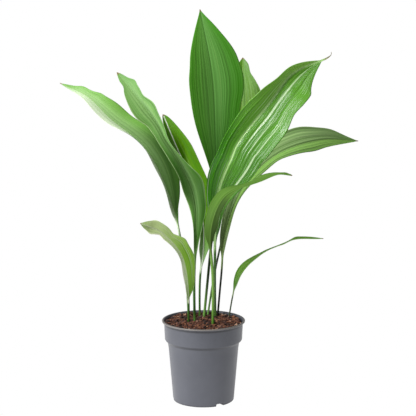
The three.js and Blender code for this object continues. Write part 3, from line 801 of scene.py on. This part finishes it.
# How the leaves are coloured: each has the plain look, apart from what its own look changes.
# Colours are hexadecimal, widths and relief are in millimetres, and places on a leaf run from
# 0 to 1, along it from its base to its tip and across a half from the midrib out.
#   light, dark: the two greens of its stripes
#   left_light, left_dark: the same for its left half, where that differs; the darker left half
#       of leaf_inner paints its shade, the paler ones of leaf_far_left and leaf_right their sheen
#   low, low_reach: the tone at its base, a painted shade on most leaves, and how far along the
#       leaf it reaches
#   painted_tip_sheen, painted_rib_sheen, painted_sheen_tone: how strong the painted sheen is
#       at the tip and round the midrib, and its colour
#   painted_sheen_on_left: how many times stronger that is on the left half
#   right_shade, shade_from: how strong the painted shade, in the vein tone, is on the lower
#       right half, and from how far across
#   tip, dry: how far the tip turns to the dark green, and from where along it is dry
#   veins, vein_tone: how strong the thin dark veins are, and their colour
#   streaks, pale, streak_cell, streak_breaks, streak_edge: how strong the pale streaks are,
#       their colour, width, number of breaks along the leaf and softness; on leaf_broad they are
#       painted glints
#   rib, rib_width, rib_tone: how strong the tone of the midrib is, its half width and colour,
#       a painted highlight on leaf_broad and leaf_inner
#   rim, rim_width, rim_tone, right_rim: the same for the margin, and the share of it that
#       the right half has; the broad rim of leaf_far_left is a painted sheen
#   stalk, foot, under_base_shade: colours of the stalk, of its foot and of the painted shade
#       low on the underside
#   relief, rough, shine: height of the relief, roughness and gloss
PLAIN_LOOK = dict(
    light="5f9a34", dark="3f7c18", low="2f6410", low_reach=0.3,
    painted_tip_sheen=0, painted_rib_sheen=0, painted_sheen_tone="b4cf9c", painted_sheen_on_left=1,
    right_shade=0, shade_from=0.2, tip=0.5, dry=0.985,
    veins=0.3, vein_tone="2c5410",
    streaks=0.2, pale="94b860", streak_cell=2.2, streak_breaks=0.7, streak_edge=0.08,
    rib=0.35, rib_width=0.9, rib_tone="94b860",
    rim=0.5, rim_width=0.6, rim_tone="94b860", right_rim=1,
    stalk="3c6428", foot="74a84c", under_base_shade="4c7834",
    relief=0.3, rough=0.34, shine=0.22,
)
# The near-black stalks of leaf_tall, leaf_behind and leaf_right paint the shade they stand in
LEAF_LOOKS = {
    "leaf_tall": dict(
        light="529632", dark="387c0e", left_light="60a436", left_dark="428e18",
        low="1c5800", low_reach=0.45, painted_rib_sheen=0.12, tip=0, veins=0.45, streaks=0.1,
        rib=0.2, rib_width=1.2, rib_tone="36602c", stalk="16280c", shine=0.15,
    ),
    "leaf_behind": dict(light="5e8c28", dark="457816", low="9cc04c", low_reach=0.9, stalk="24381a"),
    "leaf_broad": dict(
        light="548c2c", dark="3e7a1a", left_light="469808", left_dark="267000",
        low="286404", low_reach=0.2, painted_tip_sheen=0.12, painted_rib_sheen=0.03, painted_sheen_tone="94d054", painted_sheen_on_left=8,
        tip=0.2, dry=0.935, veins=0.2,
        streaks=0.5, pale="e4f8d0", streak_cell=3, streak_breaks=1.9, streak_edge=0.12,
        rib=0.85, rib_width=3.2, rib_tone="ccf4a4", rim=0.15,
        under_base_shade="1c3408", relief=0.8, rough=0.14, shine=0.3,
    ),
    "leaf_right": dict(
        light="90bc60", dark="64983c", left_light="98b878", left_dark="5c8040",
        low="4f5a34", low_reach=0.45, veins=0.7, vein_tone="3c5428", stalk="11160a", foot="18200e",
    ),
    "leaf_far_left": dict(
        light="80b456", dark="5e9636", left_light="e4f0d4", left_dark="d0e4c0", low="6c984c",
        painted_rib_sheen=0.45, painted_sheen_tone="b0cc98", right_shade=0.85, shade_from=0.05, tip=0.95, veins=0.2,
        rim=0.75, rim_width=12, rim_tone="dce8cc", right_rim=0,
    ),
    "leaf_left": dict(
        light="86ae6e", dark="609446", left_light="86b066", left_dark="5e9240",
        low="366c10", low_reach=1, painted_tip_sheen=0.05, painted_rib_sheen=0.2, right_shade=0.65, shade_from=0.1,
        veins=0.5, rib=0.15, rim_width=1.6, rim_tone="b8d09c", shine=0.12,
    ),
    "leaf_inner": dict(
        light="68a00c", dark="4a8802", left_light="507e28", left_dark="386410", low="8faf7c",
        streaks=0.4, rib=1, rib_width=1.6, rib_tone="ecf4e0", shine=0.12,
    ),
    "leaf_front": dict(
        light="587c34", dark="406220", low="405e22", low_reach=0.5,
        right_shade=0.7, shade_from=-0.2, vein_tone="1e300c", streaks=0.05, rib=0.2,
        stalk="6c9444", foot="366f04", shine=0.08,
    ),
    "leaf_low_left": dict(
        light="a4d84c", dark="74b024", left_light="f4f8e0", left_dark="c8e0a4", low="84c038",
        painted_tip_sheen=0.95, painted_sheen_tone="dcf0a8",
        streaks=0.4, pale="f0f8d8", streak_cell=1.3, streak_breaks=0.9,
        rib=0.8, rib_width=2.2, rib_tone="e4f0c8",
        rim=0.9, rim_width=3, rim_tone="f4f4dc", right_rim=0.2, relief=0.5, shine=0.08,
    ),
    "leaf_thin": dict(
        light="5e882a", dark="3e6a18", veins=0.1, streaks=0.1,
        rim=0.7, rim_width=1.8, rim_tone="c0cca8", stalk="55604a", foot="5c6a44",
        rough=0.5, shine=0.08,
    ),
}

for seed, (name, leaf) in enumerate(LEAVES.items()):
    fine_leaf = make_leaf(name, leaf, seed)
    look = PLAIN_LOOK | LEAF_LOOKS[name]
    fine_leaf.data.materials.append(leaf_material(name + "_skin", sum(leaf["half"]) / 2, seed, look))
    fine_leaf.data.materials.append(underside_material(name + "_underside", look["under_base_shade"]))
    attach(fine_leaf, "root")
    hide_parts(name)


# Pot

def rounded(corners):
    """Points of a profile whose corners (radius, height, rounding) are rounded off.

    A corner with a rounding of 0 stays sharp.
    """
    points = []
    for i, (r, z, rounding) in enumerate(corners):
        corner = Vector((r, z))
        if rounding == 0:
            points.append(corner)
            continue
        before = Vector(corners[i - 1][:2]) - corner
        after = Vector(corners[i + 1][:2]) - corner
        start = corner + before.normalized() * rounding
        end = corner + after.normalized() * rounding
        for step in range(CORNER_STEPS + 1):
            w = step / CORNER_STEPS
            points.append(start * (1 - w) ** 2 + corner * 2 * w * (1 - w) + end * w ** 2)
    return points


def make_pot():
    """The turned pot, with its stepped collar and rolled lip, before its notches are cut."""
    outside = [
        (*FOOT_CORNER, 2.0), (*BODY_TOP, 1.6), (*STEP_FOOT, 1.2), (*COLLAR, 1.1),
        (*NECK, 0.5), (RIM_RADIUS, LIP_FOOT, 1.0), (RIM_RADIUS, POT_HEIGHT, 1.0),
        (RIM_RADIUS - LIP_WIDTH, POT_HEIGHT, 1.0),
    ]
    inside = [
        (NECK[0] - WALL, NECK[1], 0.8), (COLLAR[0] - WALL, COLLAR[1] + STEP_LIFT, 1.0),
        (STEP_FOOT[0] - WALL, STEP_FOOT[1] + STEP_LIFT, 1.0),
        (BODY_TOP[0] - WALL, BODY_TOP[1] + STEP_LIFT, 1.0), (*FLOOR_CORNER, 1.2),
    ]
    profile = rounded([(0, 0, 0), *outside, *inside, (0, FLOOR, 0)])[1:-1]
    points = []
    for radius, height in profile:
        points += circle(radius, height, POT_SIDES)
    top = (len(profile) - 1) * POT_SIDES
    faces = []
    for level in range(0, top, POT_SIDES):
        faces += band(level, level + POT_SIDES, POT_SIDES)
    underside_centre = len(points)
    points += [(0, 0, 0), (0, 0, FLOOR)]
    for k in range(POT_SIDES):
        beside = (k + 1) % POT_SIDES
        faces.append((beside, k, underside_centre))
        faces.append((top + k, top + beside, underside_centre + 1))
    return make_object("pot_turned", points, faces)


def box_of(deep, wide, high):
    """Points and faces of a block round the origin."""
    x, y, z = deep / 2, wide / 2, high / 2
    points = [
        (-x, -y, -z), (x, -y, -z), (x, y, -z), (-x, y, -z),
        (-x, -y, z), (x, -y, z), (x, y, z), (-x, y, z),
    ]
    faces = [(3, 2, 1, 0), (4, 5, 6, 7), (0, 1, 5, 4), (1, 2, 6, 5), (2, 3, 7, 6), (3, 0, 4, 7)]
    return points, faces


def notch_cutter(degrees):
    """The space of one drain notch: a bar across the pot's bottom corner, its top edges rounded."""
    cutter = make_object("notch_cutter", *box_of(*NOTCH_SIZE), smooth=False)
    work = bmesh.new()
    work.from_mesh(cutter.data)
    upper_edges = [
        e for e in work.edges
        if all(v.co.z > 0 for v in e.verts) and abs(e.verts[0].co.y - e.verts[1].co.y) < 1e-6
    ]
    bmesh.ops.bevel(
        work, geom=upper_edges, offset=NOTCH_ROUNDING * MM, segments=NOTCH_ROUNDING_STEPS,
        affect="EDGES", profile=0.5,
    )
    bmesh.ops.translate(work, verts=work.verts, vec=(FOOT_RADIUS * MM, 0, 0))
    bmesh.ops.rotate(work, verts=work.verts, matrix=Matrix.Rotation(math.radians(degrees), 3, "Z"))
    work.to_mesh(cutter.data)
    work.free()
    return cutter


pot = make_pot()
for i in range(NOTCH_COUNT):
    cutter = notch_cutter(FIRST_NOTCH_DEGREES + 360 * i / NOTCH_COUNT)
    cut = pot.modifiers.new("notch", "BOOLEAN")
    cut.operation = "DIFFERENCE"
    cut.solver = "EXACT"
    cut.object = cutter
    finished = pot.evaluated_get(bpy.context.evaluated_depsgraph_get())
    cut_mesh = bpy.data.meshes.new_from_object(finished)
    pot.modifiers.clear()
    pot.data = cut_mesh
    bpy.data.objects.remove(cutter)
pot.data.set_sharp_from_angle(angle=math.radians(SHARP_EDGE_DEGREES))
pot.data.materials.clear()
pot.data.materials.append(pot_material())
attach(pot, "root")
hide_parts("pot")


# Soil and bark chips

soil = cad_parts["soil"]
soil.data.materials.clear()
soil.data.materials.append(soil_material())


def stalk_spots(z):
    """Where the stalks cross a height."""
    spots = []
    for leaf in LEAVES.values():
        points = smooth_through(leaf["midrib"], np.linspace(0, 1, MIDRIB_SAMPLES))
        spots.append(points[np.abs(points[:, 2] - z).argmin(), :2])
    return np.array(spots)


def chip_shape(draw, length):
    """A torn flake of bark: the hull of points near the faces of a flat tapered block."""
    wide = length * draw.uniform(*CHIP_WIDTHS)
    thick = length * draw.uniform(*CHIP_THICKNESSES)
    work = bmesh.new()
    for _ in range(CHIP_CORNERS):
        along = draw.uniform(-1, 1)
        slim = 1 - CHIP_TAPER * along * along
        work.verts.new((
            along * length / 2,
            draw.choice((-1, 1)) * draw.uniform(0.55, 1) * slim * wide / 2,
            draw.choice((-1, 1)) * draw.uniform(0.5, 1) * slim * thick / 2,
        ))
    bmesh.ops.convex_hull(work, input=work.verts)
    loose = [v for v in work.verts if not v.link_faces]
    bmesh.ops.delete(work, geom=loose, context="VERTS")
    work.verts.ensure_lookup_table()
    work.verts.index_update()
    points = np.array([v.co for v in work.verts])
    faces = [[v.index for v in f.verts] for f in work.faces]
    work.free()
    return points, faces, thick


def make_chips():
    """Bark chips strewn over the packed soil, each on its surface and clear of the stalks."""
    draw = random.Random(CHIP_SEED)
    ground = BVHTree.FromObject(soil, bpy.context.evaluated_depsgraph_get())
    stalks = stalk_spots(CHIP_LEVEL)
    side_tilt, end_tilt = CHIP_TILTS_DEGREES
    points, faces, tones = [], [], []
    placed = 0
    for _ in range(CHIP_TRIES):
        if placed == CHIP_COUNT:
            break
        radius = CHIP_FIELD_RADIUS * math.sqrt(draw.random())
        angle = draw.uniform(0, 2 * math.pi)
        spot = np.array((radius * math.cos(angle), radius * math.sin(angle)))
        length = draw.triangular(*CHIP_LENGTHS, CHIP_LENGTHS[0])
        if radius + length / 2 > CHIP_FIELD_RADIUS + CHIP_OVERHANG:
            continue
        if np.linalg.norm(stalks - spot, axis=1).min() < WIDEST_STALK + length / 2:
            continue
        hit = ground.ray_cast(Vector((*spot, ABOVE_SOIL)) * MM, Vector((0, 0, -1)))[0]
        ground_level = CHIP_EDGE_LEVEL if hit is None else hit.z / MM
        bank = smoothstep(radius, CHIP_BANK_FROM * CHIP_FIELD_RADIUS, CHIP_FIELD_RADIUS)
        ground_level += CHIP_BANK * bank
        shape, shape_faces, thick = chip_shape(draw, length)
        turn = Matrix.Rotation(draw.uniform(0, 2 * math.pi), 3, "Z")
        turn = turn @ Matrix.Rotation(math.radians(draw.gauss(0, side_tilt)), 3, "X")
        turn = turn @ Matrix.Rotation(math.radians(draw.gauss(0, end_tilt)), 3, "Y")
        height = ground_level + thick * draw.uniform(*CHIP_LIFTS)
        first = len(points)
        points += [Vector((*spot, height)) + turn @ Vector(p) for p in shape]
        faces += [[first + k for k in face] for face in shape_faces]
        code = draw.choices(list(CHIP_COLOURS), CHIP_COLOURS.values())[0]
        tones += [colour(code)] * len(shape)
        placed += 1
    made = make_object("bark_chips", points, faces, smooth=False)
    layer = made.data.color_attributes.new("chip_colour", "FLOAT_COLOR", "POINT")
    layer.data.foreach_set("color", np.array(tones, np.float32).ravel())
    made.data.materials.append(chip_material())
    return made


chips = make_chips()
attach(chips, "root")


# Floor and light

# Rings and levels of the floor and the surround, in metres
FLOOR_RINGS = (0.4, 1.5, 6, 20, 60)
FLOOR_RADIUS = FLOOR_RINGS[-1]
FLOOR_LEVEL = -0.0002
BACKDROP_RINGS = (0.4, 6)
BACKDROP_LEVEL = -0.0004
DOME_STEP_DEGREES = 5
SHEET_SIDES = 96

# The floor glows strongly from behind the plant to close before it, and weakly in front of
# that and far to the sides
FLOOR_GLOW_STRONG = 1.0
FLOOR_GLOW_WEAK = 0.12
GLOW_NEAR_EDGE = (-0.55, -0.12)
GLOW_SIDE_EDGE = (0.34, 0.8)
GLOW_WIDENING = 0.3

# Softboxes that face the middle of the plant: place, size in metres and power in watts
MIDDLE = (0, 0, 0.3)
SOFTBOXES = {
    "key_left": ((-1.6, -1.5, 1.05), (0.6, 1.9), 38),
    "side_left": ((-2.3, -0.2, 0.7), (1.0, 1.6), 24),
    "front_top": ((-1.2, -1.4, 2.0), (0.9, 0.7), 26),
    "top": ((-0.4, 0.0, 2.3), (1.2, 1.2), 24),
}
STUDIO_LIGHT = 0.2


def round_sheet(name, rings):
    """A round sheet from rings (radius, height) in metres, the innermost first."""
    points = [(0, 0, rings[0][1] / MM)]
    for radius, height in rings:
        points += circle(radius / MM, height / MM, SHEET_SIDES)
    faces = [(0, 1 + k, 1 + (k + 1) % SHEET_SIDES) for k in range(SHEET_SIDES)]
    for ring in range(len(rings) - 1):
        inner = 1 + ring * SHEET_SIDES
        faces += band(inner + SHEET_SIDES, inner, SHEET_SIDES)
    return make_object(name, points, faces)


def make_backdrop():
    """The pure white floor and surround, which the camera sees and which light nothing."""
    flat = [(radius, BACKDROP_LEVEL) for radius in BACKDROP_RINGS]
    bend = [math.radians(angle) for angle in range(0, 90, DOME_STEP_DEGREES)]
    dome = [(FLOOR_RADIUS * math.cos(a), FLOOR_RADIUS * math.sin(a)) for a in bend]
    made = round_sheet("backdrop", [*flat, *dome])
    shade = Shade("backdrop_white")
    shade.colour((0, 0, 0, 1))
    shade.even("Specular IOR Level", 0)
    shade.even("Emission Color", (1, 1, 1, 1))
    shade.even("Emission Strength", 1)
    shade.material.cycles.emission_sampling = "NONE"
    made.data.materials.append(shade.material)
    made.visible_diffuse = False
    made.visible_glossy = False
    made.visible_transmission = False
    made.visible_shadow = False
    return made


def make_floor():
    """The floor as the plant sees it: it glows and throws back soft light, most of it from behind."""
    made = round_sheet("floor", [(radius, FLOOR_LEVEL) for radius in FLOOR_RINGS])
    made.visible_camera = False
    shade = Shade("floor_white")
    place = shade.place()
    x, y = shade.axis(place, "X"), shade.axis(place, "Y")
    beside = shade.maths("SUBTRACT", shade.maths("ABSOLUTE", x), shade.times(y, GLOW_WIDENING))
    glow = shade.times(
        shade.spread(y, *GLOW_NEAR_EDGE), shade.spread(beside, *GLOW_SIDE_EDGE, 1.0, 0.0),
    )
    shade.colour((0.38, 0.38, 0.38, 1))
    shade.roughness(0.9)
    shade.even("Specular IOR Level", 0.1)
    shade.even("Emission Color", (1, 1, 1, 1))
    strength = shade.spread(glow, 0.0, 1.0, FLOOR_GLOW_WEAK, FLOOR_GLOW_STRONG)
    shade.join(strength, shade.shader, "Emission Strength")
    shade.material.cycles.emission_sampling = "NONE"
    made.data.materials.append(shade.material)
    return made


floor = make_floor()
backdrop = make_backdrop()


def add_softbox(name, place, size, power):
    """A rectangular area light that faces the middle of the plant."""
    data = bpy.data.lights.new(name, "AREA")
    data.shape = "RECTANGLE"
    data.size, data.size_y = size
    data.energy = power
    light = bpy.data.objects.new(name, data)
    light.visible_camera = False
    light.location = place
    light.rotation_euler = (Vector(MIDDLE) - Vector(place)).to_track_quat("-Z", "Y").to_euler()
    bpy.context.scene.collection.objects.link(light)


for name, (place, size, power) in SOFTBOXES.items():
    add_softbox(name, place, size, power)

world = bpy.data.worlds.new("studio")
world.use_nodes = True
background = world.node_tree.nodes["Background"]
background.inputs["Color"].default_value = (1, 1, 1, 1)
background.inputs["Strength"].default_value = STUDIO_LIGHT
bpy.context.scene.world = world
bpy.context.scene.view_settings.view_transform = "Standard"
